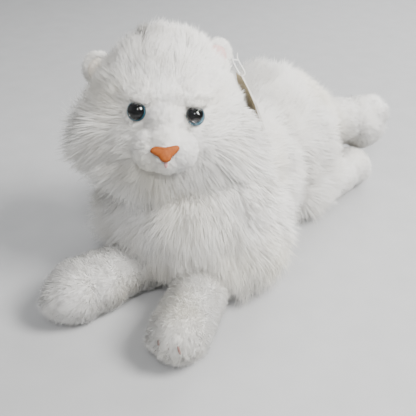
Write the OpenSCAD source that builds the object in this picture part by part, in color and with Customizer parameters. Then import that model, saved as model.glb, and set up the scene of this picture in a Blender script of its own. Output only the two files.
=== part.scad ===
// Plush cat, lying on its belly with its head turned to its left and both hind feet out to its left.
// X+ is the cat's left, Y- is the way its body faces and Z+ is up. The floor is Z = 0.

/* [Torso] */
// Radius of the ruffed chest, half way down the pile
chest_r = 66; // [60:0.5:68]
// Radius of the ruff over each shoulder
ruff_r = 50; // [46:0.5:50]
// Radius of the waist
waist_r = 51; // [48:0.5:54]
// Radius of the hips
hip_r = 60; // [55:0.5:61]
// Thickness of the long-pile cover
torso_pile = 12; // [8:0.5:14]
// Thickness of the belly panel that the cat lies on
belly_panel_t = 3; // [2:0.5:5]

/* [Head] */
// Radius of the head, half way down the pile
head_r = 54; // [50:0.5:56]
// Radius of the crown
crown_r = 50; // [46:0.5:51]
// Radius of each cheek
cheek_r = 41; // [38:0.5:42]
// Height of the head's centre above the floor
head_z = 124; // [122:0.5:130]
// Turn of the head to the cat's left
head_yaw = 32; // [20:1:40]
// Upward tilt of the face
head_pitch = 20; // [10:1:24]
// Sideways tilt of the head, down on the cat's left
head_roll = 2; // [-5:1:5]
// Thickness of the head's cover
head_pile = 9; // [6:0.5:11]
// Radius of the muzzle
muzzle_r = 22; // [20:0.5:24]
// Diameter of the eyes
eye_d = 12; // [9:0.5:13]
// Distance between the centres of the eyes
eye_spacing = 35; // [32:0.5:40]
// Radius of the cupped ears
ear_r = 11.5; // [9:0.5:13]

/* [Legs] */
// Radius of the front paws
paw_r = 21; // [19:0.5:22]
// Length of a front leg from its shoulder's centre to the tip of the paw
front_leg_length = 80; // [70:1:90]
// Turn of the left front leg out from the body's line
front_left_splay = 12; // [5:1:15]
// Turn of the right front leg out from the body's line
front_right_splay = 28; // [15:1:30]
// Radius of the left hind leg, which lies on the right one
upper_hind_r = 22.5; // [19:0.5:23]
// Radius of the right hind leg
lower_hind_r = 17; // [15:0.5:17]
// Length of a hind leg from its hip's centre to the tip of the foot
hind_leg_length = 90; // [80:1:96]
// Thickness of the short-pile cover of the legs
leg_pile = 5; // [3:0.5:7]

/* [Tail] */
// Radius of the tail
tail_r = 14; // [11:0.5:15]
// Radius of the tail's curl
tail_curl_r = 75; // [72:1:80]

/* [Swing tag] */
// Width of the card
tag_w = 28; // [24:0.5:30]
// Length of the card
tag_l = 50; // [40:1:52]
// Thickness of the folded card
tag_t = 1; // [0.6:0.1:1.6]

/* [Hidden] */
$fn = 64;
LEFT = 1;
RIGHT = -1;
// Running gap between soft pieces that move against each other
gap = 0.5;
big = 400;
// Moves the model so that its origin is under the middle of its box
frame_shift = [11.6, -10.9, 0];
chest_centre = [0, -46, 62];
ruff_place = [24, -46, 50];
belly_start = [1, -46, 48.5];
belly_r = 50;
belly_length = 116;
end_steps = 8;
blend_steps = 5;
hip_centre = [3, 72, 57];
head_centre = [-11, -54, head_z];
crown_lift = 8;
// The neck is a shallow cup that the head turns in, low down at its back
neck_inner_r = 60.5;
neck_cover_t = 2.5;
neck_tilt = 28;
neck_depth = 50;
muzzle_centre = [0, -40, -21];
muzzle_pile = 4;
nose_tilt = 19;
eye_lift = [5.8, 8];
eye_forward = 45.6;
eye_turn = 17;
stem_r = 2;
washer_t = 1.6;
left_ear_place = [39.5, 3, 41.5];
right_ear_place = [46.5, 3, 32];
ear_lean = 48;
ear_turn = 14;
ear_thickness = 3.4;
lining_t = 1.4;
left_shoulder = [33, -78, paw_r];
right_shoulder = [-17, -84, paw_r];
waist_ratio = 0.9;
upper_hip = [14, 113, 2 * lower_hind_r + 1 + upper_hind_r];
upper_hind_turn = 50;
lower_hip = [50, 68, lower_hind_r];
lower_hind_turn = 15;
tail_root = [-22, 100, tail_r + 2];
tag_top = [25, -24, 155];
tag_yaw = 134;
// The card narrows at its top, round the hole
tag_neck = 14;
tag_neck_w = 8;
tag_lean = 20;
loop_r = 7;
stitch_r = 0.7;
mouth_angle = 20;
stitch_count = 3;
pellet_bag_r = 26;
pellet_bag_h = 20;
pellet_bag_place = [0, 30, 30];

soft_white = [0.95, 0.95, 0.93];
fill_white = [0.86, 0.86, 0.84];
card_tan = [0.62, 0.47, 0.28];

// ---- Shapes that several pieces share ----

// Points along a rounded end: side is -1 at the chest's end and 1 at the rump's end
function end_points(r, y, side) =
    [for (i = [0 : end_steps]) let (a = 90 * (side < 0 ? i : end_steps - i) / end_steps)
        [r * sin(a), y + side * r * cos(a)]];

// Points between two places where the body's radius is r_a and r_b
function blend_points(r_a, r_b, y_a, y_b) =
    [for (i = [1 : blend_steps - 1]) let (t = i / blend_steps)
        [(r_a + r_b) / 2 + (r_a - r_b) / 2 * cos(180 * t), y_a + (y_b - y_a) * t]];

module torso_form(inset = 0) {
    run = hip_centre - chest_centre;
    length = norm(run);
    outline = concat(
        end_points(chest_r - inset, 0, -1),
        blend_points(chest_r - inset, waist_r - inset, 0, length / 2),
        [[waist_r - inset, length / 2]],
        blend_points(waist_r - inset, hip_r - inset, length / 2, length),
        end_points(hip_r - inset, length, 1));
    translate(chest_centre) rotate([0, acos(run[2] / length), atan2(run[1], run[0])])
        rotate_extrude() polygon(outline);
    for (side = [LEFT, RIGHT])
        translate([side * ruff_place[0], ruff_place[1], ruff_place[2]]) sphere(ruff_r - inset);
    translate(belly_start) rotate([-90, 0, 0]) cylinder(r = belly_r - inset, h = belly_length);
}

function mirrored(p) = [-p[0], p[1], p[2]];

module above(z) {
    translate([-big / 2, -big / 2, z]) cube([big, big, big]);
}

module in_frame() {
    translate(frame_shift) children();
}

module on_head() {
    in_frame() translate(head_centre) rotate([-head_pitch, 0, head_yaw]) rotate([0, head_roll, 0]) children();
}

module brow_form(inset = 0) {
    sphere(head_r - inset);
    translate([0, 0, crown_lift]) sphere(crown_r - inset);
}

module head_form(inset = 0) {
    brow_form(inset);
    for (side = [LEFT, RIGHT]) translate([side * 16, -2, -9]) sphere(cheek_r - inset);
}

module muzzle_form(inset = 0) {
    translate(muzzle_centre) sphere(muzzle_r - inset);
}

// Z+ of an eye's own frame is the way it looks, and Z = 0 is the back of its base
module on_eye(side) {
    lift = side == LEFT ? eye_lift[0] : eye_lift[1];
    translate([side * eye_spacing / 2, -eye_forward + 3.2, lift])
        rotate([90 - 3, 0, side * eye_turn]) children();
}

// Z+ of the nose's own frame is the way it faces, and Z = 0 is on the muzzle's backing
module on_nose() {
    translate(muzzle_centre) rotate([90 - nose_tilt, 0, 0])
        translate([0, 0, muzzle_r - muzzle_pile]) children();
}

// Room behind the nose for its stem and washer
module nose_room() {
    on_nose() {
        translate([0, 0, -7]) cylinder(r = stem_r + 0.1, h = 8);
        translate([0, 0, -3.6]) cylinder(r = 6.2, h = washer_t + 0.4);
    }
}

module fastener_form(r) {
    on_tag() rotate([0, -90, 0]) translate([loop_r, 0, 0])
        rotate_extrude() translate([loop_r, 0]) circle(r, $fn = 24);
}

module eye_room() {
    for (side = [LEFT, RIGHT]) on_eye(side) {
        cylinder(r = eye_d / 2 + 0.3, h = 20);
        translate([0, 0, -6]) cylinder(r = stem_r + 0.1, h = 7);
    }
}

module stem_room() {
    for (side = [LEFT, RIGHT]) on_eye(side) {
        translate([0, 0, -14]) cylinder(r = stem_r + 0.1, h = 15);
        translate([0, 0, -5]) cylinder(r = eye_d / 2 + 0.8, h = washer_t + 1);
    }
}

module capsule_leg(r, root_r, length, inset = 0) {
    reach = length - r;
    waist = min(r, root_r) * waist_ratio - inset;
    sphere(root_r - inset);
    cylinder(r1 = root_r - inset, r2 = waist, h = reach / 2);
    translate([0, 0, reach / 2]) cylinder(r1 = waist, r2 = r - inset, h = reach / 2);
    translate([0, 0, reach]) sphere(r - inset);
}

// Room for a leg to swing in: its root's ball, and a cone that opens outwards
module leg_room(r) {
    sphere(r + gap);
    cylinder(r1 = r + gap, r2 = r + gap + 60 * tan(17), h = 60);
}

// Z+ of a leg's own frame runs from its root to its tip, and X- is up
module on_front_leg(side) {
    splay = side == LEFT ? front_left_splay : -front_right_splay;
    in_frame() translate(side == LEFT ? left_shoulder : right_shoulder)
        rotate([0, 0, splay - 90]) rotate([0, 90, 0]) children();
}

module on_upper_hind_leg() {
    in_frame() translate(upper_hip) rotate([0, 0, 90 - upper_hind_turn]) rotate([0, 90, 0]) children();
}

module on_lower_hind_leg() {
    in_frame() translate(lower_hip) rotate([0, 0, 90 - lower_hind_turn]) rotate([0, 90, 0]) children();
}

module tail_form(inset = 0) {
    r = tail_r - inset;
    in_frame() translate(tail_root) {
        sphere(r + 0.5);
        translate([0, -tail_curl_r, 0]) {
            rotate([0, 0, 90]) rotate_extrude(angle = 88, $fn = 96)
                translate([tail_curl_r, 0]) circle(r, $fn = 48);
            rotate([0, 0, 178]) translate([tail_curl_r, 0, 0]) sphere(r + 0.5);
        }
    }
}

// The space above the chest that the neck, head and muzzle turn in
module joints_room() {
    translate(head_centre) sphere(neck_inner_r + neck_cover_t + gap);
    translate([-big / 2, -big - 44, 80]) cube([big, big, big]);
}

module limbs_room() {
    for (side = [LEFT, RIGHT]) on_front_leg(side) leg_room(paw_r);
    on_upper_hind_leg() leg_room(upper_hind_r);
    on_lower_hind_leg() leg_room(lower_hind_r);
    in_frame() translate(tail_root) {
        sphere(tail_r + gap);
        rotate([0, -90, 0]) cylinder(r1 = tail_r + gap, r2 = tail_r + 12, h = 40);
    }
}

// The same for the stuffing, which stays further back
module plain_room(r) {
    translate([0, 0, -r - 2]) cylinder(r = r + 5, h = 120);
}

module stuffing_room() {
    for (side = [LEFT, RIGHT]) on_front_leg(side) plain_room(paw_r);
    on_upper_hind_leg() plain_room(upper_hind_r);
    on_lower_hind_leg() plain_room(lower_hind_r);
    in_frame() translate(tail_root) rotate([0, -90, 0]) plain_room(tail_r);
}

// ---- Body ----

module torso_cover() {
    color(soft_white) difference() {
        in_frame() intersection() {
            difference() {
                torso_form();
                torso_form(torso_pile);
            }
            above(belly_panel_t);
        }
        in_frame() joints_room();
        limbs_room();
    }
}

module belly_panel() {
    color(soft_white) difference() {
        in_frame() intersection() {
            torso_form();
            translate([-big / 2, -big / 2, 0]) cube([big, big, belly_panel_t]);
        }
        limbs_room();
    }
}

module pellet_bag_form() {
    rotate_extrude() {
        translate([pellet_bag_r - pellet_bag_h / 2, 0]) circle(pellet_bag_h / 2);
        translate([0, -pellet_bag_h / 2]) square([pellet_bag_r - pellet_bag_h / 2, pellet_bag_h]);
    }
}

module torso_stuffing() {
    color(fill_white) difference() {
        in_frame() intersection() {
            torso_form(torso_pile);
            above(belly_panel_t);
        }
        in_frame() joints_room();
        stuffing_room();
        in_frame() translate(pellet_bag_place) pellet_bag_form();
    }
}

module pellet_bag() {
    color([0.8, 0.8, 0.76]) in_frame() translate(pellet_bag_place) pellet_bag_form();
}

module neck_cover() {
    color(soft_white) in_frame() translate(head_centre) intersection() {
        difference() {
            sphere(neck_inner_r + neck_cover_t);
            sphere(neck_inner_r);
        }
        rotate([neck_tilt, 0, 0]) translate([-big / 2, -big / 2, -big - neck_depth]) cube([big, big, big]);
    }
}

// ---- Head ----

module head_cover() {
    color(soft_white) difference() {
        on_head() difference() {
            head_form();
            head_form(head_pile);
            eye_room();
            nose_room();
        }
        fastener_form(0.8);
    }
}

module head_stuffing() {
    color(fill_white) on_head() difference() {
        head_form(head_pile);
        eye_room();
        stem_room();
    }
}

module muzzle_cover() {
    color(soft_white) on_head() difference() {
        muzzle_form();
        muzzle_form(muzzle_pile);
        head_form();
        on_nose() cylinder(r = stem_r + 0.1, h = 20, center = true);
        on_nose() translate([0, 0, 0.4]) cylinder(r = 12, h = 10);
    }
}

module muzzle_stuffing() {
    color(fill_white) on_head() difference() {
        muzzle_form(muzzle_pile);
        head_form();
        nose_room();
    }
}

// Z+ of an ear's own frame runs out of the head, Y- is the way it opens, and Z = 0 is its seam
module on_ear(side) {
    on_head() translate(side == LEFT ? left_ear_place : mirrored(right_ear_place))
        rotate([0, side * ear_lean, side * ear_turn]) children();
}

// Half of a shallow bowl that opens to the front
module ear_back(side) {
    color(soft_white) on_ear(side) rotate([90, 0, 0]) rotate_extrude(angle = 180) polygon([
        [0, 0], [0.7 * ear_r, 1.6], [ear_r, 4.6],
        [ear_r + 1.6, 3.4], [0.8 * ear_r, -1.8], [0, -ear_thickness]]);
}

module ear_lining(side) {
    color([0.93, 0.78, 0.76]) on_ear(side) rotate([90, 0, 0]) rotate_extrude(angle = 180) polygon([
        [0, 0.1], [0.7 * ear_r, 1.7], [0.9 * ear_r, 3.75],
        [0.8 * ear_r, 4], [0.62 * ear_r, 2.8], [0, lining_t]]);
}

module eye_stem(side) {
    color([0.03, 0.03, 0.03]) on_head() on_eye(side) {
        cylinder(r = eye_d / 2, h = 1.2);
        translate([0, 0, -12]) cylinder(r = stem_r, h = 12.5);
    }
}

module eye_iris(side) {
    color([0.16, 0.38, 0.5]) on_head() on_eye(side)
        translate([0, 0, 1.2]) cylinder(r = eye_d / 2 - 0.2, h = 0.4);
}

module eye_dome(side) {
    dome_r = eye_d / 2 + 0.6;
    color([0.85, 0.92, 0.95, 0.4]) on_head() on_eye(side) intersection() {
        translate([0, 0, 1.6 - sqrt(pow(dome_r, 2) - pow(eye_d / 2, 2))]) sphere(dome_r);
        translate([0, 0, 1.6]) cylinder(r = eye_d / 2, h = 20);
    }
}

module eye_washer(side) {
    color([0.9, 0.9, 0.88]) on_head() on_eye(side) translate([0, 0, -4.6]) difference() {
        cylinder(r = eye_d / 2 + 0.5, h = washer_t);
        translate([0, 0, -1]) cylinder(r = stem_r + 0.02, h = washer_t + 2);
    }
}

module nose() {
    color([0.83, 0.47, 0.27]) on_head() on_nose() {
        translate([0, 0, 0.5]) linear_extrude(5) offset(2.2)
            polygon([[-7.2, 3], [7.2, 3], [1.2, -4.2], [-1.2, -4.2]]);
        translate([0, 0, -6]) cylinder(r = stem_r, h = 7);
    }
}

module nose_washer() {
    color([0.9, 0.9, 0.88]) on_head() on_nose() translate([0, 0, -3.4]) difference() {
        cylinder(r = 6, h = washer_t);
        translate([0, 0, -1]) cylinder(r = stem_r + 0.02, h = washer_t + 2);
    }
}

// The thread runs down over the front of the muzzle from under the nose
module mouth_stitch() {
    thread = muzzle_r + stitch_r + 0.05;
    color([0.8, 0.5, 0.5]) on_head() translate(muzzle_centre) rotate([0, 90, 0]) rotate([0, 0, 270])
        rotate_extrude(angle = mouth_angle, $fn = 48) translate([thread, 0]) circle(stitch_r, $fn = 16);
}

// ---- Limbs ----

module front_leg_cover(side) {
    color(soft_white) on_front_leg(side) difference() {
        capsule_leg(paw_r, paw_r, front_leg_length);
        capsule_leg(paw_r, paw_r, front_leg_length, leg_pile);
    }
}

module front_leg_stuffing(side) {
    color(fill_white) on_front_leg(side) capsule_leg(paw_r, paw_r, front_leg_length, leg_pile);
}

// Short threads over the front of the paw, which mark its toes
module toe_stitches(side) {
    color([0.55, 0.42, 0.38]) on_front_leg(side) translate([0, 0, front_leg_length - paw_r])
        for (i = [0 : stitch_count - 1]) rotate([0, 0, 90 + (i - 1) * 38]) rotate([90, 0, 0]) toe_thread();
}

module toe_thread() {
    rotate([0, 0, 28]) rotate_extrude(angle = 26, $fn = 48)
        translate([paw_r + stitch_r + 0.05, 0]) circle(stitch_r, $fn = 16);
}

module left_hind_leg_cover() {
    color(soft_white) on_upper_hind_leg() difference() {
        capsule_leg(upper_hind_r, upper_hind_r, hind_leg_length);
        capsule_leg(upper_hind_r, upper_hind_r, hind_leg_length, leg_pile);
    }
}

module left_hind_leg_stuffing() {
    color(fill_white) on_upper_hind_leg() capsule_leg(upper_hind_r, upper_hind_r, hind_leg_length, leg_pile);
}

module right_hind_leg_cover() {
    color(soft_white) on_lower_hind_leg() difference() {
        capsule_leg(lower_hind_r, lower_hind_r, hind_leg_length);
        capsule_leg(lower_hind_r, lower_hind_r, hind_leg_length, leg_pile);
    }
}

module right_hind_leg_stuffing() {
    color(fill_white) on_lower_hind_leg() capsule_leg(lower_hind_r, lower_hind_r, hind_leg_length, leg_pile);
}

module tail_cover() {
    color(soft_white) difference() {
        tail_form();
        tail_form(leg_pile);
    }
}

module tail_stuffing() {
    color(fill_white) tail_form(leg_pile);
}

// ---- Swing tag ----

// Z- of the tag's own frame runs down the card, and X+ runs along its top edge
module on_tag() {
    in_frame() translate(tag_top) rotate([0, 0, tag_yaw]) rotate([-tag_lean, 0, 0]) children();
}

module swing_tag() {
    color(card_tan) on_tag() rotate([90, 0, 0]) linear_extrude(tag_t, center = true) difference() {
        polygon([
            [-tag_w / 2, 4 - tag_l], [tag_w / 2, 4 - tag_l], [tag_w / 2, -tag_neck],
            [tag_neck_w / 2, 4], [-tag_neck_w / 2, 4], [-tag_w / 2, -tag_neck]]);
        circle(2);
    }
}

module tag_fastener() {
    color([0.93, 0.93, 0.9]) fastener_form(0.6);
}

torso_cover();
belly_panel();
torso_stuffing();
pellet_bag();
neck_cover();
head_cover();
muzzle_cover();
head_stuffing();
muzzle_stuffing();
ear_back(LEFT);  // left_ear_back
ear_lining(LEFT);  // left_ear_lining
ear_back(RIGHT);  // right_ear_back
ear_lining(RIGHT);  // right_ear_lining
eye_dome(LEFT);  // left_eye_dome
eye_iris(LEFT);  // left_eye_iris
eye_stem(LEFT);  // left_eye_stem
eye_washer(LEFT);  // left_eye_washer
eye_dome(RIGHT);  // right_eye_dome
eye_iris(RIGHT);  // right_eye_iris
eye_stem(RIGHT);  // right_eye_stem
eye_washer(RIGHT);  // right_eye_washer
nose();
nose_washer();
mouth_stitch();
front_leg_cover(LEFT);  // front_left_leg_cover
front_leg_stuffing(LEFT);  // front_left_leg_stuffing
toe_stitches(LEFT);  // front_left_toe_stitches
front_leg_cover(RIGHT);  // front_right_leg_cover
front_leg_stuffing(RIGHT);  // front_right_leg_stuffing
toe_stitches(RIGHT);  // front_right_toe_stitches
left_hind_leg_cover();
left_hind_leg_stuffing();
right_hind_leg_cover();
right_hind_leg_stuffing();
tail_cover();
tail_stuffing();
tag_fastener();
swing_tag();
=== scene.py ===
import itertools
import math

import bmesh
import bpy
import numpy as np
from mathutils import Matrix, Vector
from mathutils.bvhtree import BVHTree


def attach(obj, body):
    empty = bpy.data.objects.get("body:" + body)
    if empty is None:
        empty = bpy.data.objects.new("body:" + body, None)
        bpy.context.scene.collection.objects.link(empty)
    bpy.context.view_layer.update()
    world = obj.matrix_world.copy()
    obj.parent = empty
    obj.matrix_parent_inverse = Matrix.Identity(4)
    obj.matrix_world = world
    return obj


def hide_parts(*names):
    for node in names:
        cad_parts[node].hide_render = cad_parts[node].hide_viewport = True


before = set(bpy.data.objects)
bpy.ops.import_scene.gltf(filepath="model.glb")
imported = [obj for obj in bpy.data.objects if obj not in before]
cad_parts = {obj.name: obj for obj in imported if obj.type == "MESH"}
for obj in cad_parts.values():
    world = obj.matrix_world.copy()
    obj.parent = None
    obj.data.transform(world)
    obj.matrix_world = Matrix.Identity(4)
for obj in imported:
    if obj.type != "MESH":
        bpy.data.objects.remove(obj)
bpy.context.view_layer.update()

MM = 0.001
SHIFT = np.array([11.6, -10.9, 0.0])  # part.scad's frame_shift, in mm
SIDES = {"left": 1, "right": -1}
UP = np.array([0, 0, 1.0])
UPRIGHT = np.eye(3)


def rot(axis, degrees):
    return np.array(Matrix.Rotation(math.radians(degrees), 3, axis))


def place(p):
    """A place in part.scad, in mm, in the frame that the model is packed in."""
    return np.array(p, float) + SHIFT


# ---------------------------------------------------------------- places, in mm, as in part.scad
HEAD_AT = place([-11.0, -54.0, 124.0])
HEAD_TURN = rot("Z", 32) @ rot("X", -20) @ rot("Y", 2)
NECK_R = 52  # the body's pile stops where the head's skin is nearer than this to its middle
MUZZLE_AT = np.array([0.0, -40.0, -21.0])

EYE_LIFT = {"left": 5.8, "right": 8.0}
EYE_HALF_GAP, EYE_BACK = 17.5, -42.4
EYE_TURN, EYE_TILT = 17, 87
PUPIL_SHIFT = {"left": [-0.9, 1.0, 0], "right": [0.3, 0.1, 0]}
IRIS_R = 6.0

EAR_AT = {"left": np.array([39.5, 3, 41.5]), "right": np.array([-46.5, 3, 32.0])}
EAR_SHIFT = {"left": np.array([-6.5, -1, 2.0]), "right": np.array([-0.5, 0, 1.0])}  # from the CAD's ears
EAR_LEAN, EAR_TURN, EAR_R = 48, 14, 11.5

TAG_HANG = np.array([4.0, 1.5, -4.0])  # from the CAD's card to the folded one
TAG_AT = place([25.0, -24.0, 155.0]) + TAG_HANG
TAG_TURN = rot("Z", 134) @ rot("X", -20)
TAG_W, TAG_L = 28, 50
TAG_TOP, TAG_SHOULDER, TAG_TIP_W = 3, -14, 8  # heights on the card, and the width of its cut-off tip

# where each leg starts, its turn about Z, its radius and its length
FRONT_LEGS = {"left": ([33, -78, 21], 12 - 90, 21, 80), "right": ([-17, -84, 21], -28 - 90, 21, 80)}
HIND_LEGS = {"left": ([14, 113, 57.5], 90 - 50, 22.5, 90), "right": ([50, 68, 17], 90 - 15, 17, 90)}
TAIL_ROOT, TAIL_CURL = place([-22.0, 100.0, 16.0]), 75


def on_head(p):
    """A place in the head's own frame, in the model's."""
    return np.asarray(p, float) @ HEAD_TURN.T + HEAD_AT


def in_head(p):
    """A place in the model's frame, in the head's own."""
    return (p - HEAD_AT) @ HEAD_TURN


def eye_in_head(side):
    return np.array([SIDES[side] * EYE_HALF_GAP, EYE_BACK, EYE_LIFT[side]])


def eye_frame(side):
    """The middle of an eye's rim, and its turn: Z points out of the eye."""
    return on_head(eye_in_head(side)), HEAD_TURN @ rot("Z", SIDES[side] * EYE_TURN) @ rot("X", EYE_TILT)


def leg_frame(spec):
    """Where a leg starts, its turn (Z runs along it), its radius and its length."""
    start, yaw, r, length = spec
    return place(start), rot("Z", yaw) @ rot("Y", 90), r, length


# ---------------------------------------------------------------- materials
def material(name, rough, **sockets):
    """A new material, with its node tree and its shader."""
    m = bpy.data.materials.new(name)
    m.use_nodes = True
    shader = m.node_tree.nodes["Principled BSDF"]
    shader.inputs["Roughness"].default_value = rough
    for key, value in sockets.items():
        shader.inputs[key.replace("_", " ")].default_value = value
    return m, m.node_tree, shader


def ramp(nt, stops, factor):
    """The colour at factor between stops, each (position, colour)."""
    n = nt.nodes.new("ShaderNodeValToRGB")
    while len(n.color_ramp.elements) < len(stops):
        n.color_ramp.elements.new(0.5)
    for element, (at, colour) in zip(n.color_ramp.elements, stops):
        element.position, element.color = at, (*colour, 1)
    nt.links.new(factor, n.inputs[0])
    return n.outputs[0]


def noise(nt, scale, detail=3.0):
    """Noise over the object's own coordinates, in metres."""
    n = nt.nodes.new("ShaderNodeTexNoise")
    n.inputs["Scale"].default_value = scale
    n.inputs["Detail"].default_value = detail
    nt.links.new(nt.nodes.new("ShaderNodeTexCoord").outputs["Object"], n.inputs["Vector"])
    return n.outputs["Fac"]


def mottled(name, rough, low, high, scale, stops=(0.3, 0.7), **sockets):
    """A material whose colour varies a little, from low to high."""
    m, nt, shader = material(name, rough, **sockets)
    nt.links.new(ramp(nt, list(zip(stops, (low, high))), noise(nt, scale)), shader.inputs["Base Color"])
    return m


def fur_material(name, low, high, scale=60.0):
    """Pile: mottled, warmer in broad patches, and fine enough to let some light through."""
    m, nt, shader = material(name, 0.75, Sheen_Weight=0.25, Sheen_Roughness=0.4)
    fine = ramp(nt, [(0.3, low), (0.7, high)], noise(nt, scale, 2.0))
    patches = ramp(nt, [(0.52, (0, 0, 0)), (0.72, (1, 1, 1))], noise(nt, 14.0, 1.0))
    warm = nt.nodes.new("ShaderNodeMix")
    warm.data_type, warm.blend_type = "RGBA", "MULTIPLY"
    warm.inputs["B"].default_value = (1.0, 0.985, 0.93, 1)
    nt.links.new(patches, warm.inputs["Factor"])
    nt.links.new(fine, warm.inputs["A"])
    colour = warm.outputs["Result"]
    nt.links.new(colour, shader.inputs["Base Color"])
    through = nt.nodes.new("ShaderNodeBsdfTranslucent")
    nt.links.new(colour, through.inputs["Color"])
    mix = nt.nodes.new("ShaderNodeMixShader")
    mix.inputs[0].default_value = 0.28
    nt.links.new(shader.outputs[0], mix.inputs[1])
    nt.links.new(through.outputs[0], mix.inputs[2])
    nt.links.new(mix.outputs[0], nt.nodes["Material Output"].inputs["Surface"])
    return m


def nose_satin():
    """Brown satin cloth with a fine grain."""
    m, nt, shader = material("nose_satin", 0.55, Specular_IOR_Level=0.15)
    grain = noise(nt, 700, 4.0)
    colour = ramp(nt, [(0.3, (0.26, 0.066, 0.013)), (0.7, (0.33, 0.09, 0.019))], grain)
    nt.links.new(colour, shader.inputs["Base Color"])
    relief = nt.nodes.new("ShaderNodeBump")
    relief.inputs["Strength"].default_value = 0.25
    relief.inputs["Distance"].default_value = 0.2 * MM
    nt.links.new(grain, relief.inputs["Height"])
    nt.links.new(relief.outputs[0], shader.inputs["Normal"])
    return m


def iris_material(side):
    """A black pupil in a blue ring that darkens at its rim, by the distance from the pupil's axis."""
    centre, turn = eye_frame(side)
    m, nt, shader = material(side + "_iris", 0.25)
    from_pupil, off_axis, distance = (nt.nodes.new("ShaderNodeVectorMath") for _ in range(3))
    from_pupil.operation = "SUBTRACT"
    from_pupil.inputs[1].default_value = (centre + turn @ np.array(PUPIL_SHIFT[side])) * MM
    off_axis.operation = "CROSS_PRODUCT"
    off_axis.inputs[1].default_value = turn @ UP
    distance.operation = "LENGTH"
    share = nt.nodes.new("ShaderNodeMath")
    share.operation = "MULTIPLY"
    share.inputs[1].default_value = 1 / (IRIS_R * MM)
    nt.links.new(nt.nodes.new("ShaderNodeTexCoord").outputs["Object"], from_pupil.inputs[0])
    nt.links.new(from_pupil.outputs[0], off_axis.inputs[0])
    nt.links.new(off_axis.outputs[0], distance.inputs[0])
    nt.links.new(distance.outputs["Value"], share.inputs[0])
    colour = ramp(nt, [(0.0, (0.004, 0.004, 0.005)), (0.74, (0.005, 0.005, 0.006)), (0.79, (0.02, 0.1, 0.15)),
                       (0.9, (0.07, 0.3, 0.42)), (1.0, (0.03, 0.16, 0.24))], share.outputs[0])
    nt.links.new(colour, shader.inputs["Base Color"])
    return m


WHITE_FUR = fur_material("white_fur", (0.86, 0.845, 0.81), (0.93, 0.925, 0.905))
SHORT_FUR = fur_material("short_fur", (0.87, 0.86, 0.835), (0.93, 0.925, 0.91), 120.0)
EAR_FUR = {"left": fur_material("pink_fur", (0.82, 0.58, 0.56), (0.88, 0.68, 0.66), 200.0),
           "right": fur_material("cream_fur", (0.84, 0.79, 0.72), (0.9, 0.86, 0.8), 200.0)}
BACKING = fur_material("fur_backing", (0.84, 0.83, 0.8), (0.9, 0.89, 0.87), 300.0)
MOUTH_THREAD = mottled("stitch_thread", 0.7, (0.5, 0.26, 0.26), (0.6, 0.35, 0.35), 900)
TOE_THREAD = mottled("toe_thread", 0.7, (0.16, 0.09, 0.075), (0.26, 0.15, 0.13), 900)
BLACK_PLASTIC = mottled("black_plastic", 0.12, (0.008, 0.008, 0.01), (0.02, 0.018, 0.02), 900, stops=(0, 1),
                        Coat_Weight=0.6)
PALE_PLASTIC = mottled("loop_plastic", 0.35, (0.8, 0.8, 0.78), (0.88, 0.88, 0.86), 500)
CARD = mottled("card", 0.75, (0.46, 0.38, 0.24), (0.56, 0.47, 0.31), 300)
CARD_EDGE = mottled("card_edge", 0.8, (0.6, 0.58, 0.54), (0.72, 0.7, 0.66), 500)
FILLING = mottled("fibre_fill", 0.9, (0.6, 0.6, 0.58), (0.75, 0.75, 0.73), 200)
FLOOR = mottled("pale_floor", 0.8, (0.42, 0.425, 0.43), (0.445, 0.45, 0.455), 40)


# ---------------------------------------------------------------- numbers
def unit(v):
    return v / np.maximum(np.linalg.norm(v, axis=-1, keepdims=True), 1e-9)


def apart(p, q):
    return np.linalg.norm(p - q, axis=1)


def rise(x, start, over):
    """From 0 at start to 1 at start + over."""
    return np.clip((x - start) / over, 0, 1)


def fall(x, end, over):
    """From 1 at end - over to 0 at end."""
    return np.clip((end - x) / over, 0, 1)


def hashed(cells, salt):
    """A repeatable random number from 0 to 1 for each whole-number cell."""
    h = cells[..., 0] * 73856093 ^ cells[..., 1] * 19349663 ^ cells[..., 2] * 83492791 ^ salt * 2654435761
    h = (h ^ (h >> 13)) * 1274126177
    return ((h ^ (h >> 16)) & 0xFFFFFF) / float(0x1000000)


def hashed_3(cells, salts):
    return np.stack([hashed(cells, salt) for salt in salts], axis=1)


def locks(p, size):
    """For each root, the middle of the lock it belongs to, and three random numbers that the lock shares."""
    base = np.floor(p / size).astype(np.int64)
    best = np.full(len(p), 1e9)
    middle, shared = p.copy(), np.zeros((len(p), 3))
    for step in itertools.product((-1, 0, 1), repeat=3):
        cell = base + np.array(step)
        c = (cell + hashed_3(cell, (1, 2, 3))) * size
        d = apart(c, p)
        near = d < best
        best[near] = d[near]
        middle[near] = c[near]
        shared[near] = hashed_3(cell[near], (4, 5, 6))
    return middle, shared * 2 - 1


SWIRL_SIZE, SWIRL_SEED, SWIRL_WAVES = 34, 7, 5


def swirl(p):
    """A smooth field of directions, the same for all the fur."""
    rng = np.random.default_rng(SWIRL_SEED)
    out = np.zeros_like(p)
    for _ in range(SWIRL_WAVES):
        k = unit(rng.normal(size=3)) * 2 * math.pi / (SWIRL_SIZE * rng.uniform(0.7, 1.6))
        out += np.sin(p @ k + rng.uniform(0, 6.3))[:, None] * unit(rng.normal(size=3)) * 0.6
    return out


# ---------------------------------------------------------------- meshes
def link(name, data):
    o = bpy.data.objects.new(name, data)
    bpy.context.scene.collection.objects.link(o)
    return o


def mesh_object(name, verts, faces, mat, smooth=True):
    me = bpy.data.meshes.new(name)
    me.from_pydata([tuple(v) for v in verts], [], faces)
    me.materials.append(mat)
    me.update()
    me.polygons.foreach_set("use_smooth", [smooth] * len(me.polygons))
    return link(name, me)


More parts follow.
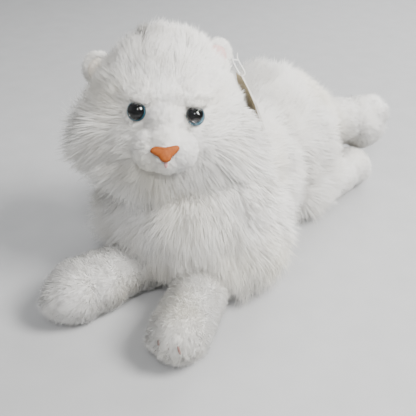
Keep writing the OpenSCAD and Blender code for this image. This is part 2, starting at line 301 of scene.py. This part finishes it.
def blob(name, parts, voxel, smooth):
    """One smooth skin round a set of ellipsoids, each (centre, radii, turn), in mm."""
    bm = bmesh.new()
    for centre, radii, turn in parts:
        radii = np.broadcast_to(np.asarray(radii, float), 3)
        m = Matrix.Translation(Vector(np.asarray(centre) * MM)) @ Matrix(turn.tolist()).to_4x4()
        m = m @ Matrix.Diagonal((*(radii * MM), 1))
        bmesh.ops.create_icosphere(bm, subdivisions=4, radius=1, matrix=m)
    me = bpy.data.meshes.new(name)
    bm.to_mesh(me)
    bm.free()
    o = link(name, me)
    remesh = o.modifiers.new("remesh", "REMESH")
    remesh.mode, remesh.voxel_size = "VOXEL", voxel * MM
    relax = o.modifiers.new("smooth", "SMOOTH")
    relax.factor, relax.iterations = 0.5, smooth
    done = bpy.data.meshes.new_from_object(o.evaluated_get(bpy.context.evaluated_depsgraph_get()))
    o.modifiers.clear()
    o.data = done
    done.materials.clear()
    done.materials.append(BACKING)
    done.polygons.foreach_set("use_smooth", [True] * len(done.polygons))
    return o


def plush(skin, body, slot, fill, *replaced):
    """Hangs a stuffed skin on its body and hides the CAD nodes it stands for. Its finish (slot) and how tight
    it is (fill) are not used.
    """
    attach(skin, body)
    if replaced:
        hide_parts(*replaced)


def ring_faces(rings, around):
    """The faces of a tube of rings with around points each, with a cap at both ends."""
    faces = []
    for i, k in itertools.product(range(rings - 1), range(around)):
        k2 = (k + 1) % around
        faces.append([i * around + k, i * around + k2, (i + 1) * around + k2, (i + 1) * around + k])
    return faces + [list(range(around))[::-1], [(rings - 1) * around + k for k in range(around)]]


SPLINE_STEPS = 5


def spline(points, closed):
    """A smooth line through points."""
    p = np.asarray(points, float)
    m = len(p)
    out = []
    for i in range(m if closed else m - 1):
        a, b, c, d = (p[(i + k) % m] if closed else p[min(max(i + k, 0), m - 1)] for k in (-1, 0, 1, 2))
        for j in range(SPLINE_STEPS):
            t = j / SPLINE_STEPS
            out.append(0.5 * (2 * b + (c - a) * t + (2 * a - 5 * b + 4 * c - d) * t ** 2
                              + (3 * b - a - 3 * c + d) * t ** 3))
    if not closed:
        out.append(p[-1])
    return np.array(out)


TUBE_SIDES = 8


def tube(name, points, radius, mat, body):
    """A thread along points, in mm, thinner at both ends."""
    p = spline(points, closed=False)
    m = len(p)
    along = unit(np.gradient(p, axis=0))
    across = unit(np.cross(along, np.array([0.3, 0.2, 0.93])))
    other = np.cross(along, across)
    verts = []
    for i in range(m):
        r = radius * min(1, 0.35 + 3 * min(i, m - 1 - i) / m)
        for k in range(TUBE_SIDES):
            a = 2 * math.pi * k / TUBE_SIDES
            verts.append((p[i] + r * (math.cos(a) * across[i] + math.sin(a) * other[i])) * MM)
    o = mesh_object(name, verts, ring_faces(m, TUBE_SIDES), mat)
    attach(o, body)
    return o


def skin_hit(skin, starts, aims, out):
    """Points that stand out of a skin, in mm, where the lines from starts to aims meet it."""
    me = skin.data
    tree = BVHTree.FromPolygons([v.co for v in me.vertices], [list(f.vertices) for f in me.polygons])
    points = []
    for a, b in zip(starts, aims):
        hit, normal, _, _ = tree.ray_cast(Vector(a * MM), Vector(unit(b - a)))
        points.append(np.array(hit) / MM + np.array(normal) * out)
    return points


# ---------------------------------------------------------------- fur
ROOT_DEPTH = 0.6  # mm, how deep in its skin a strand starts
FLOOR_GAP = 0.7  # mm, the least height of a strand that lies on the floor
BELLY_TOP, BELLY_SLOPE = 6, -0.8  # the flat underside: how high it goes in mm, and how far down it faces
EYE_CLEAR = 6.3  # mm, the pile starts this far from an eye's axis


def rows(items, key, kind=np.float32):
    """A mesh's values, three to a row."""
    out = np.empty(len(items) * 3, kind)
    items.foreach_get(key, out)
    return out.reshape(-1, 3)


def scatter(o, count, rng):
    """Evenly spread roots on a mesh, in mm, with their smooth normals."""
    me = o.data
    me.calc_loop_triangles()
    triangles = rows(me.loop_triangles, "vertices", np.int32)
    places = rows(me.vertices, "co").astype(float) / MM
    normals = rows(me.vertices, "normal").astype(float)
    a, b, c = (places[triangles[:, k]] for k in range(3))
    area = np.linalg.norm(np.cross(b - a, c - a), axis=1)
    corners = triangles[rng.choice(len(triangles), count, p=area / area.sum())]
    u, v = rng.random((2, count, 1))
    flip = u + v > 1
    u, v = np.where(flip, 1 - u, u), np.where(flip, 1 - v, v)

    def between(values):
        return values[corners[:, 0]] * (1 - u - v) + values[corners[:, 1]] * u + values[corners[:, 2]] * v

    return between(places), unit(between(normals))


def ribbon_mesh(name, points, across, normals, mat):
    """A tapered ribbon along each strand's points. across is half its width at the root, as a vector."""
    steps, count = len(points) - 1, len(across)
    rings = []
    for i in range(steps):
        half = across * (1 - 0.75 * (i / steps) ** 1.5)
        rings += [points[i] + half, points[i] - half]
    rings.append(points[steps])
    corners = 2 * steps + 1
    quads = [[2 * i, 2 * i + 1, 2 * i + 3, 2 * i + 2] for i in range(steps - 1)]
    loop = np.array(sum(quads, []) + [2 * steps - 2, 2 * steps - 1, 2 * steps])
    strand = np.arange(count)[:, None]
    me = bpy.data.meshes.new(name)
    me.vertices.add(count * corners)
    me.vertices.foreach_set("co", (np.stack(rings, axis=1) * MM).astype(np.float32).ravel())
    me.loops.add(count * len(loop))
    me.loops.foreach_set("vertex_index", (strand * corners + loop).astype(np.int32).ravel())
    me.polygons.add(count * steps)
    first = strand * len(loop) + 4 * np.arange(steps)
    me.polygons.foreach_set("loop_start", first.astype(np.int32).ravel())
    me.polygons.foreach_set("use_smooth", np.ones(count * steps, bool))
    me.materials.append(mat)
    me.update()

    # each strand has its own cell of the bake's map
    side_of = np.array([1, -1] * steps + [0])
    per_row = math.ceil(math.sqrt(count))
    u = 0.5 - 0.35 * side_of
    v = 0.1 + 0.8 * (np.arange(corners) // 2) / steps
    uv = np.stack([strand % per_row + u[loop], strand // per_row + v[loop]], axis=2) / per_row
    me.uv_layers.new(name="OFBake").data.foreach_set("uv", uv.astype(np.float32).ravel())

    # soft normals: between the skin's own and the strand's round side
    sideways = unit(across)[:, None, :] * 0.2 * side_of[None, :, None]
    me.normals_split_custom_set_from_vertices(unit(normals[:, None, :] + sideways).reshape(-1, 3).tolist())
    return me


def fur(name, skin, body, count, length, flow, mat, seed, width=0.7, steps=3, lift=(55, 20), lock=7.0,
        pull=0.3, stray=0.12, keep=None, drop=0.0, floor=True, spread=0.2, bend=7.0, swirls=0.3, ragged=0.1):
    """Grows fur on a skin as tapered ribbons.

    length, flow and keep are functions of the roots and their normals, in mm. lift is a strand's angle from
    the skin at its root and its tip, and bend is how far that varies, in degrees. A lock is lock mm across:
    pull draws its strands together, spread turns them and ragged changes their length. stray turns each
    strand by chance, swirls in broad patches, and drop down. floor keeps the pile above the floor.
    """
    rng = np.random.default_rng(seed)
    p, n = scatter(skin, count, rng)
    if keep is not None:
        kept = keep(p, n)
        p, n = p[kept], n[kept]
    m = len(p)
    middle, shared = locks(p, lock)
    size = length(p, n) * rng.uniform(0.72, 1.12, m) * (1 + ragged * shared[:, 2])

    def in_skin(v):
        return v - (v * n).sum(1, keepdims=True) * n

    combed = unit(in_skin(unit(flow(p, n)) + spread * shared + swirls * swirl(p)))
    to_lock = in_skin(middle - p)
    wild = unit(rng.normal(size=(m, 3))) * stray
    lift_change = rng.normal(0, bend, m) + 5 * shared[:, 0]
    points = [p - ROOT_DEPTH * n]
    for i in range(steps):
        t = (i + 0.5) / steps
        a = np.radians(lift[0] + (lift[1] - lift[0]) * t + lift_change)[:, None]
        way = unit(np.sin(a) * n + np.cos(a) * combed + wild * (0.5 + t) - drop * t * UP)
        points.append(points[-1] + way * size[:, None] / steps + to_lock * (pull * 2 * t / steps))
    points = np.stack(points)
    if floor:
        points[:, :, 2] = np.maximum(points[:, :, 2], FLOOR_GAP + rng.uniform(0, 0.8, m))
    twist = rng.uniform(-1.0, 1.0, m)[:, None]
    along = unit(points[1] - points[0])
    flat = unit(np.cross(n, along))
    up = unit(np.cross(along, flat))
    across = (np.cos(twist) * flat + np.sin(twist) * up) * width * rng.uniform(0.7, 1.25, m)[:, None] / 2
    o = link(name, ribbon_mesh(name, points, across, n + 0.2 * up + 0.2 * shared, mat))
    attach(o, body)


def same_length(mm):
    """A length for fur that is the same all over its skin."""
    return lambda p, n: np.full(len(p), float(mm))


def same_way(direction):
    """A flow for fur that is the same all over its skin."""
    return lambda p, n: np.broadcast_to(direction, p.shape)


def leg_distance(p):
    """How far a point is from the front legs' and the upper hind leg's sides, in mm."""
    d = np.full(len(p), 1e9)
    for spec in (*FRONT_LEGS.values(), HIND_LEGS["left"]):
        at, turn, r, length = leg_frame(spec)
        q = (p - at) @ turn
        on_axis = np.clip(q[:, 2], 0, length - r)[:, None] * UP
        d = np.minimum(d, apart(q, on_axis) - r)
    return d


def eye_distance(p):
    """How far a point is from the nearest eye's axis, in mm, where it isn't behind the eye."""
    d = np.full(len(p), 1e9)
    for side in SIDES:
        centre, turn = eye_frame(side)
        q = (p - centre) @ turn
        d = np.minimum(d, np.where(q[:, 2] > -8, np.hypot(q[:, 0], q[:, 1]), 1e9))
    return d


def tag_room(p):
    """From 0 at the swing tag, where the card presses the pile down, to 1 away from it."""
    q = (p - TAG_AT) @ TAG_TURN
    beside = np.maximum(np.abs(q[:, 0]) - TAG_W / 2, 0)
    beyond = np.maximum(np.maximum(q[:, 2] - 2, 4 - TAG_L - q[:, 2]), 0)
    return rise(np.linalg.norm(np.stack([beside, q[:, 1], beyond], axis=1), axis=1), 8, 12)


def off_belly(p, n):
    """Leaves out the flat underside that the cat lies on."""
    return (p[:, 2] >= BELLY_TOP) | (n[:, 2] >= BELLY_SLOPE)


def off_eyes(p, n):
    return eye_distance(p) > EYE_CLEAR


# ---------------------------------------------------------------- torso
torso_skin = blob("torso_skin", [
    (place([2, -44, 58]), (56, 49, 57), UPRIGHT),
    (place([25, -44, 46]), (43, 40, 44), UPRIGHT),
    (place([-20, -44, 46]), (42, 40, 44), UPRIGHT),
    (place([2, 14, 53]), (49, 64, 51), UPRIGHT),
    (place([4, 72, 58]), (56, 54, 57), UPRIGHT),
    (place([26, 74, 32]), (38, 41, 30), UPRIGHT),
], 2.5, 12)
plush(torso_skin, "torso", "long_pile", 0.75, "torso_cover", "belly_panel", "torso_stuffing")


def torso_flow(p, n):
    """Down the chest and out to its sides, then back along the body and down its flanks."""
    q = p - SHIFT
    back = rise(q[:, 1], -50, 50)
    side = rise(np.abs(q[:, 0]), 0, 40) * np.sign(q[:, 0])
    f = np.array([0, 1.0, -0.2]) * back[:, None] - UP * (1 - back[:, None])
    f[:, 0] += 0.45 * side * (1 - back)
    f[:, 2] -= 0.8 * fall(q[:, 2], 45, 40) * back
    return f


def torso_length(p, n):
    """Longest at the mane and low on the left flank, short under the head, at the tag and by the legs."""
    q = p - SHIFT
    mane = fall(q[:, 1], 10, 40)
    flank = fall(q[:, 2], 60, 40) * rise(q[:, 0], 20, 30)
    full = 17 + (5.5 - 3.5 * np.clip(q[:, 0] / 40, -1, 1)) * mane + 4.5 * flank
    full = full * (0.45 + 0.55 * rise(apart(p, HEAD_AT), NECK_R, 22)) * (0.3 + 0.7 * tag_room(p))
    return np.minimum(full, 8 + 1.3 * np.clip(leg_distance(p) + 8, 0, 30))


def torso_keep(p, n):
    return off_belly(p, n) & (apart(p, HEAD_AT) >= NECK_R) & (leg_distance(p) >= -9)


for i in range(4):
    fur(f"torso_fur_{i}", torso_skin, "torso", 36000, torso_length, torso_flow, WHITE_FUR, 10 + i, width=0.44,
        lift=(58, 26), lock=12, pull=0.2, stray=0.24, keep=torso_keep, drop=0.25, spread=0.16, swirls=0.5,
        ragged=0.18)


# ---------------------------------------------------------------- head
def head_ball(centre, radii):
    return on_head(centre), radii, HEAD_TURN


head_skin = blob("head_skin", [
    head_ball([0, 0, 0], (49, 46, 48)), head_ball([0, 2, 8], (43, 44, 46)),  # skull
    head_ball([17, -3, -10], 36), head_ball([-18, -3, -7], 34),  # cheeks
    head_ball([0, -36.5, 17], (28, 9, 8)),  # brow
], 2.0, 8)
muzzle_skin = blob("muzzle_skin", [
    head_ball([7.5, -45.5, -15], (10.2, 10.5, 10.8)), head_ball([-8.6, -45.5, -14.5], (10.2, 10.5, 10.8)),
    head_ball([0, -47, -20], (8, 8.8, 7)),  # chin
    head_ball([0, -42, -1], (11.5, 9, 14)), head_ball([0, -49, -11], (9.5, 8.5, 9.5)),  # bridge and tip
], 1.2, 10)
plush(head_skin, "head", "long_pile", 0.8, "head_cover")
plush(muzzle_skin, "head", "short_pile", 0.8, "muzzle_cover", "muzzle_stuffing")


def head_flow(p, n):
    """Away from the nose, down the cheeks, and outwards round each eye."""
    q = in_head(p)
    away = q - np.array([0, -52, -12])
    away[:, 1] *= 0.4
    f = unit(away)
    f[:, 2] -= 0.8 * fall(q[:, 2], -4, 25) * np.where(q[:, 0] < -12, 0.5, 1)
    for side in SIDES:
        r = q - eye_in_head(side)
        r[:, 1] = 0
        near = np.exp(-(np.linalg.norm(r, axis=1) / 9) ** 2)[:, None]
        f = f * (1 - near) + unit(r) * near
    return f @ HEAD_TURN.T


def head_length(p, n):
    """Short on the face, long on the cheeks and the chin, and pressed down at the tag and the left ear."""
    q = in_head(p)
    x, y, z = q.T
    cheek = rise(np.abs(x), 20, 20) * fall(z, 14, 26)
    chin = fall(z, -22, 18)
    crown = np.exp(-((x - 6) / 22) ** 2) * rise(z, 30, 20)
    top = 14 - 8.5 * fall(y, -20, 20) + 2 * crown
    low_right = fall(z, -16, 16) * (x < 0)
    full = top + 15 * cheek * (1 - 0.45 * low_right) + 19 * chin * (1 - cheek)
    before_ear = on_head(EAR_AT["left"] + EAR_SHIFT["left"] + np.array([-5, -7, -5]))
    eye_room = 0.38 + 0.62 * rise(eye_distance(p), 6, 12)
    ear_room = 0.35 + 0.65 * rise(apart(p, before_ear), 7, 9)
    return full * eye_room * (0.35 + 0.65 * tag_room(p)) * ear_room


def head_keep(p, n):
    q = in_head(p)
    under_muzzle = (q[:, 1] < -34) & (np.hypot(q[:, 0], q[:, 2] + 16) < 9)
    return off_eyes(p, n) & ~under_muzzle


def muzzle_flow(p, n):
    """Away from a point in front of the nose."""
    return (in_head(p) - np.array([0, -66, -12])) @ HEAD_TURN.T


for i in range(2):
    fur(f"head_fur_{i}", head_skin, "head", 37000, head_length, head_flow, WHITE_FUR, 20 + i, width=0.46,
        lift=(50, 22), lock=9, pull=0.24, stray=0.15, keep=head_keep, drop=0.12, floor=False, spread=0.15,
        swirls=0.35, ragged=0.12)
fur("muzzle_fur", muzzle_skin, "head", 32000, same_length(4.4), muzzle_flow, SHORT_FUR, 30, width=0.34,
    lift=(58, 28), lock=3, pull=0.12, stray=0.16, keep=off_eyes, floor=False, spread=0.14)

# plush folds over the rim of each eye: which way from its middle (degrees), how far and how deep (mm)
EYE_FOLDS = {"left": [(88, 6.2, 0.6), (212, 6.7, 1.8)], "right": [(78, 6.3, 0.6), (216, 6.4, 2.6)]}
for side, s in SIDES.items():
    centre, turn = eye_frame(side)
    for i, (angle, far, deep) in enumerate(EYE_FOLDS[side]):
        tilt = turn @ rot("Z", angle - 90)
        at = centre + tilt @ np.array([0, far, -deep])
        fold = blob(f"{side}_eye_fold_{i}", [(at, (6.6, 2.3, 3.2), tilt)], 0.7, 3)
        plush(fold, "head", "short_pile", 0.4)
        outwards = same_way(tilt @ np.array([0, 1.0, 0.1]))
        fur(f"{side}_eye_fold_fur_{i}", fold, "head", 2400, same_length(3.6), outwards, SHORT_FUR,
            34 + 2 * s + i, width=0.3, steps=2, lift=(34, 12), lock=3, stray=0.25, floor=False)

# ---------------------------------------------------------------- legs
TOES, TOE_R, TOE_FAN = 4, 7.2, 38


def toe_middles(r, length):
    """The middles of a paw's toes, in its leg's frame."""
    reach = r - 8
    for i in range(TOES):
        a = math.radians(-TOE_FAN + 2 * TOE_FAN * i / (TOES - 1))
        yield [r * 0.1, reach * math.sin(a) * 1.3, length - 6 - TOE_R - reach * (1 - math.cos(a))]


def make_leg(name, spec, seed, short, wide=0.0, extra=(), shaggy=0.0):
    """A leg with its pile, short by so much, its toes moved across by wide, and more pile at its root."""
    at, turn, r, length = leg_frame(spec)
    length -= short
    inner = r - 3.5
    balls = [([0, 0, z], (rad, rad * 1.02, long))
             for z, rad, long in ((0, inner, inner), (length * 0.3, inner * 0.98, length * 0.42),
                                  (length * 0.5, inner * 0.98, length * 0.4), (length - r - 2, inner, inner))]
    balls += [(np.array(c) + [0, wide, 0], TOE_R) for c in toe_middles(r, length)]
    balls += extra
    skin = blob(name + "_skin", [(at + turn @ np.array(c), radii, turn) for c, radii in balls], 1.6, 6)
    plush(skin, name, "short_pile", 0.8, name + "_cover", name + "_stuffing")
    axis = turn @ UP

    def pile_length(p, n):
        z = (p - at) @ axis
        return 5.5 + 6 * rise(z, length - r * 0.8, r * 0.7) ** 2 + shaggy * fall(z, 45, 45)

    to_paw = same_way(axis - 0.15 * UP)
    fur(name + "_fur", skin, name, 40000, pile_length, to_paw, SHORT_FUR, seed, width=0.42, steps=2,
        lift=(66, 44), lock=5, pull=0.25, stray=0.25, keep=off_belly, spread=0.25, bend=10)
    return skin


paw_skins = {
    "left": make_leg("front_left_leg", FRONT_LEGS["left"], 41, short=2),
    "right": make_leg("front_right_leg", FRONT_LEGS["right"], 42, short=7, wide=3,
                      extra=[([0, 6.5, 54], (18, 18, 18)), ([0, 6, 36], (17, 17, 18))]),
}
make_leg("left_hind_leg", HIND_LEGS["left"], 43, short=2, shaggy=9,
         extra=[([5.5, 0, 66], (19, 19, 18)), ([-9, -7, 74], (9, 8, 10)), ([-9, 7, 74], (9, 8, 10))])
make_leg("right_hind_leg", HIND_LEGS["right"], 44, short=1,
         extra=[([-2.5, 0, 66], (15, 15, 17)), ([-2, 0, 40], (15, 15, 20))])

# ---------------------------------------------------------------- tail
TAIL_BALLS, TAIL_BALL_R, TAIL_SWEEP = 24, 10.5, 88
tail_parts = []
for i in range(TAIL_BALLS):
    a = math.radians(90 + TAIL_SWEEP * i / (TAIL_BALLS - 1))
    c = TAIL_ROOT + np.array([TAIL_CURL * math.cos(a), TAIL_CURL * (math.sin(a) - 1), 0])
    tail_parts.append((c, TAIL_BALL_R, UPRIGHT))
tail_skin = blob("tail_skin", tail_parts, 1.8, 4)
plush(tail_skin, "tail", "short_pile", 0.8, "tail_cover")


def tail_flow(p, n):
    """Round the tail's curl, from its root to its tip."""
    q = p - TAIL_ROOT - np.array([0, -TAIL_CURL, 0])
    return np.stack([-q[:, 1], q[:, 0], np.zeros(len(q))], axis=1)


fur("tail_fur", tail_skin, "tail", 14000, same_length(11), tail_flow, WHITE_FUR, 50, lift=(45, 20), lock=5,
    keep=off_belly)

# ---------------------------------------------------------------- ears
for side, s in SIDES.items():
    turn = HEAD_TURN @ rot("Z", s * EAR_TURN) @ rot("Y", s * EAR_LEAN)
    at = on_head(EAR_AT[side] + EAR_SHIFT[side])
    back = blob(side + "_ear_skin", [
        (at + turn @ np.array([0, 1.5, -1.2]), (EAR_R * 0.9, 2.8, EAR_R * 0.86), turn),
        (at + turn @ np.array([0, 1.0, -4]), (EAR_R * 0.9, 3.2, EAR_R * 0.75), turn),
    ], 0.9, 3)
    lining = blob(side + "_ear_pink", [
        (at + turn @ np.array([0, -1.4, -2.2]), (EAR_R * 0.66, 1.9, EAR_R * 0.62), turn),
    ], 0.7, 3)
    lining.data.materials[0] = EAR_FUR[side]
    plush(back, "head", "short_pile", 0.3, side + "_ear_back")
    plush(lining, "head", "ear_plush", 0.3, side + "_ear_lining")
    to_tip = same_way(turn @ UP)
    fur(side + "_ear_fur", back, "head", 7000, same_length(4.4), to_tip, SHORT_FUR, 60 + s, width=0.4,
        steps=2, lift=(50, 30), lock=2.5, stray=0.25, floor=False,
        keep=lambda p, n: ((p - at) @ turn)[:, 1] > -0.6)
    fur(side + "_ear_pink_fur", lining, "head", 1500, same_length(2), to_tip, EAR_FUR[side], 64 + s,
        width=0.35, steps=2, lift=(45, 25), lock=2.5, floor=False)

# ---------------------------------------------------------------- nose
NOSE_OUTLINE = [(-8.5, -0.3), (-6.6, 2.1), (-2.8, 2.2), (0.6, 1.9), (4.1, 2.7), (7.8, 3.3), (8.6, 1.2),
                (6.2, -1.8), (4.3, -3.6), (3.2, -5.8), (0.7, -6.8), (-1.9, -5.9), (-3.7, -3.6), (-6.2, -2.2)]
# the outline's scale at each height of the nose
NOSE_RINGS = [(0.9, 0.2), (1.0, 1.4), (1.02, 3.2), (0.98, 4.3), (0.88, 5.0), (0.7, 5.45), (0.45, 5.7),
              (0.2, 5.8)]
NOSE_TURN, NOSE_MIDDLE, NOSE_OUT = rot("X", 71), (-0.2, 0.9), 17.4

outline = spline(NOSE_OUTLINE, closed=True)
verts = []
for scale, z in NOSE_RINGS:
    for x, y in outline:
        sides_fall = 0.5 * (x / 9) ** 2 if z > 1 else 0
        q = [(x + NOSE_MIDDLE[0]) * scale, y * scale + NOSE_MIDDLE[1], NOSE_OUT + z - sides_fall]
        verts.append(on_head(MUZZLE_AT + NOSE_TURN @ np.array(q)) * MM)
nose_tip = mesh_object("nose_tip", verts, ring_faces(len(NOSE_RINGS), len(outline)), nose_satin())
rounding = nose_tip.modifiers.new("subdivision", "SUBSURF")
rounding.levels = rounding.render_levels = 1
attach(nose_tip, "head")
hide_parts("nose")

# ---------------------------------------------------------------- mouth and toe threads
MOUTH_LINE = [(0.4, -19.2), (0.4, -21), (0.5, -23)]  # across and up, in the head's frame
mouth_points = skin_hit(muzzle_skin, [on_head([x, -90, z]) for x, z in MOUTH_LINE],
                        [on_head([x, -40, z * 0.9 - 2]) for x, z in MOUTH_LINE], 2.2)
mouth = tube("mouth_thread", mouth_points, 1.1, MOUTH_THREAD, "head")
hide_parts("mouth_stitch")

# how far across the paw each line is, and how far out of its skin
TOE_LINES = {"left": [(7.6, 4.4), (-1.0, 2.0), (-9.0, 2.4)], "right": [(7.6, 2.4), (-1.0, 2.0), (-9.0, 2.4)]}
for side in SIDES:
    at, turn, r, length = leg_frame(FRONT_LEGS[side])
    centre = at + turn @ UP * (length - r)
    for i, (y, out) in enumerate(TOE_LINES[side]):
        line = [at + turn @ np.array([x, y + 0.25 * (x + 2), length - 5]) for x in (-2.0, -5.0, -8.5)]
        starts = [centre + unit(q - centre) * 60 for q in line]
        points = skin_hit(paw_skins[side], starts, [centre] * 3, out)
        piece = tube(f"front_{side}_toe_thread_{i}", points, 0.75, TOE_THREAD, f"front_{side}_leg")
        if i == 0:
            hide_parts(f"front_{side}_toe_stitches")

# ---------------------------------------------------------------- neck
NECK_SKIN_R, NECK_CUT, NECK_LEAN = 57, 52, math.radians(28)
neck_skin = blob("neck_skin", [(HEAD_AT, NECK_SKIN_R, UPRIGHT)], 3.0, 1)
bm = bmesh.new()
bm.from_mesh(neck_skin.data)
down = Vector((0, math.sin(NECK_LEAN), -math.cos(NECK_LEAN)))
gone = [v for v in bm.verts if (v.co - Vector(HEAD_AT * MM)).dot(down) < NECK_CUT * MM]
bmesh.ops.delete(bm, geom=gone, context="VERTS")
bm.to_mesh(neck_skin.data)
bm.free()
cloth = neck_skin.modifiers.new("thickness", "SOLIDIFY")
cloth.thickness, cloth.offset = 2 * MM, 0
plush(neck_skin, "neck", "long_pile", 0.3, "neck_cover")
fur("neck_fur", neck_skin, "neck", 3000, same_length(6), same_way(np.array([0, 0.6, -1.0])), WHITE_FUR, 70,
    width=0.6)


# ---------------------------------------------------------------- finishes of the CAD nodes that stay
def paint(nodes, mat):
    """Gives CAD nodes a new material."""
    for n in nodes:
        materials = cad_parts[n].data.materials
        materials.clear()
        materials.append(mat)


paint([side + "_eye_stem" for side in SIDES], BLACK_PLASTIC)
for side in SIDES:
    clear, _, _ = material(side + "_eye_clear", 0.03, IOR=1.45, Transmission_Weight=1.0)
    paint([side + "_eye_iris"], iris_material(side))
    paint([side + "_eye_dome"], clear)
paint([side + "_eye_washer" for side in SIDES] + ["nose_washer"], PALE_PLASTIC)
paint([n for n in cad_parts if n.endswith("stuffing") or n == "pellet_bag"], FILLING)

# ---------------------------------------------------------------- swing tag
LEAF_HALF = 0.35  # half a leaf's thickness


def tag_leaf(name, yaw, width, off_fold):
    """One leaf of the folded card, turned about the fold at its side."""
    own = rot("Z", yaw)
    edge, tip = TAG_W / 2, TAG_TIP_W / 2
    outline = [(0, TAG_SHOULDER), (0, 2 - TAG_L), (width, 2 - TAG_L), (width, TAG_SHOULDER),
               (edge + tip, TAG_TOP), (edge - tip, TAG_TOP)]
    middle = [TAG_AT + TAG_TURN @ (own @ np.array([x, 0, 0]) + np.array([-edge, 0, z])) for x, z in outline]
    normal = TAG_TURN @ own @ np.array([0, 1.0, 0])
    verts = [(q + (side * LEAF_HALF + off_fold) * normal) * MM for side in (-1, 1) for q in middle]
    m = len(outline)
    faces = [list(range(m)), list(range(m, 2 * m))[::-1]]
    faces += [[k, m + k, m + (k + 1) % m, (k + 1) % m] for k in range(m)]
    o = mesh_object(name, verts, faces, CARD, smooth=False)
    o.data.materials.append(CARD_EDGE)
    for i, face in enumerate(o.data.polygons):
        face.material_index = 0 if i < 2 else 1
    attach(o, "tag")
    return o


def tag_strand(name, start, points, radius):
    """A strand of the tag's loop. The points are from start, in mm."""
    return tube(name, [start + np.array(q) for q in points], radius, PALE_PLASTIC, "tag")


tag_back = tag_leaf("tag_leaf_back", 0, 28, 0.45)
tag_leaf("tag_leaf_front", 9, 26, -0.45)
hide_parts("swing_tag")
hole = TAG_AT + TAG_TURN @ np.array([1.0, 0, 0.5])
# the loop's two strands lean from the hole to the ear, and its bar lies across them
loop = tag_strand("tag_loop", hole, [(0, 0, -0.5), (1.0, 1.6, 2), (-2.8, -1.4, 11), (-3.0, -1.8, 15.5)], 0.55)
tag_strand("tag_loop_end", hole, [(0, 0, -0.5), (-1.6, -1.6, 2), (-5.4, -3.4, 10), (-5.6, -3.0, 14)], 0.55)
tag_strand("tag_bar", hole, [(-8.7, -3.9, 10.5), (-5.4, -2.8, 10.8), (-1.8, -1.4, 10.5)], 0.7)
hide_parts("tag_fastener")

# ---------------------------------------------------------------- camera, light and floor
CAMERA_AIM = place([17.3, -48.5, 58.9]) * MM
CAMERA_AZIMUTH, CAMERA_ELEVATION = math.radians(29.5), math.radians(32.8)
CAMERA_DISTANCE = 0.4452
LENS, SENSOR = 53.654, 36.0  # mm
LIGHT_AIM = Vector((0, 0, 0.06))
FLOOR_HALF = 3.0

scene = bpy.context.scene
to_camera = Vector((math.sin(CAMERA_AZIMUTH) * math.cos(CAMERA_ELEVATION),
                    -math.cos(CAMERA_AZIMUTH) * math.cos(CAMERA_ELEVATION), math.sin(CAMERA_ELEVATION)))
camera_data = bpy.data.cameras.new("camera")
camera_data.sensor_width, camera_data.lens = SENSOR, LENS
camera_data.clip_start = 0.01
camera = link("camera", camera_data)
camera.location = Vector(CAMERA_AIM) + to_camera * CAMERA_DISTANCE
camera.rotation_euler = to_camera.to_track_quat("Z", "Y").to_euler()
scene.camera = camera

world = bpy.data.worlds.new("studio")
scene.world = world
world.use_nodes = True
background = world.node_tree.nodes["Background"]
background.inputs["Color"].default_value = (0.95, 0.97, 1.0, 1)
background.inputs["Strength"].default_value = 0.3


def area_light(name, at, size, power, colour):
    """A soft light at a place in metres, turned to the cat."""
    light = bpy.data.lights.new(name, "AREA")
    light.size, light.energy, light.color = size, power, colour
    o = link(name, light)
    o.location = at
    o.rotation_euler = (Vector(at) - LIGHT_AIM).to_track_quat("Z", "Y").to_euler()


area_light("key", (0.85, 0.0, 0.95), 0.45, 32, (1.0, 0.985, 0.96))
area_light("top", (0.42, -0.72, 0.9), 0.22, 8, (1.0, 0.99, 0.98))
area_light("fill", (-0.9, -0.6, 0.5), 0.8, 0.8, (0.93, 0.96, 1.0))
area_light("back", (0.1, 0.95, 0.8), 0.7, 13, (1.0, 1.0, 1.0))

corners = [(-FLOOR_HALF, -FLOOR_HALF, 0), (FLOOR_HALF, -FLOOR_HALF, 0), (FLOOR_HALF, FLOOR_HALF, 0),
           (-FLOOR_HALF, FLOOR_HALF, 0)]
mesh_object("floor", corners, [[0, 1, 2, 3]], FLOOR, smooth=False)
